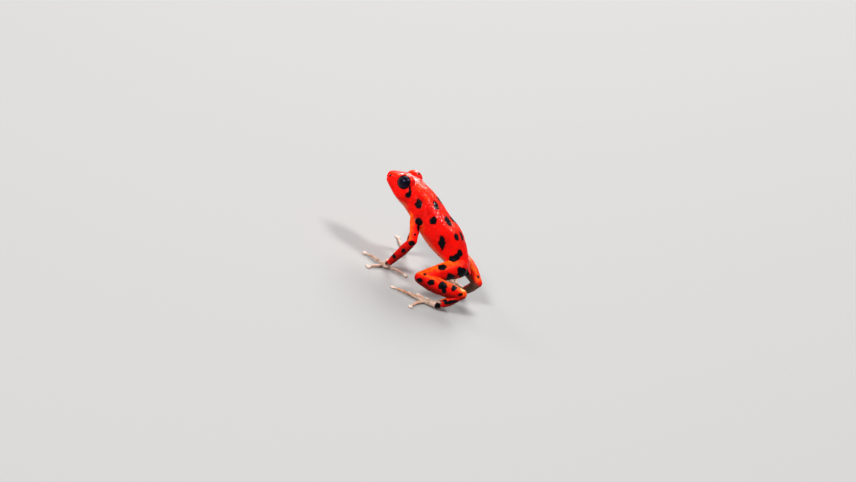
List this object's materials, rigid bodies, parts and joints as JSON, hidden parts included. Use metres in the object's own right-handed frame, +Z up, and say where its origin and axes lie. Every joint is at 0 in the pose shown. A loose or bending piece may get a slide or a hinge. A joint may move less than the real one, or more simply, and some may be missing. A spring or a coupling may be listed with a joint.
{
  "type": "strawberry poison dart frog",
  "caption": "Small glossy red frog with black spots, chest raised on its arms and hind legs folded, as a still life-size model.",
  "frame": {"origin": "on the floor, at the middle of the frog's footprint box", "axes": "+X from the rump to the snout, +Y to the frog's left, +Z up"},
  "size_m": [0.0216, 0.0226, 0.0141],
  "materials": {
    "spotted_skin": "moist glossy skin, red with black spots",
    "pale_skin": "moist skin, pale pinkish tan",
    "eye": "wet black"
  },
  "bodies": {
    "root": {"torso": "spotted_skin", "head": "spotted_skin", "eye_left": "eye", "eye_right": "eye", "upper_arm_left": "spotted_skin", "upper_arm_right": "spotted_skin", "forearm_left": "spotted_skin", "forearm_right": "spotted_skin", "hand_left": "pale_skin", "hand_right": "pale_skin", "thigh_left": "spotted_skin", "thigh_right": "spotted_skin", "shank_left": "spotted_skin", "shank_right": "spotted_skin", "tarsus_left": "spotted_skin", "tarsus_right": "spotted_skin", "foot_left": "pale_skin", "foot_right": "pale_skin"}
  },
  "joints": []
}
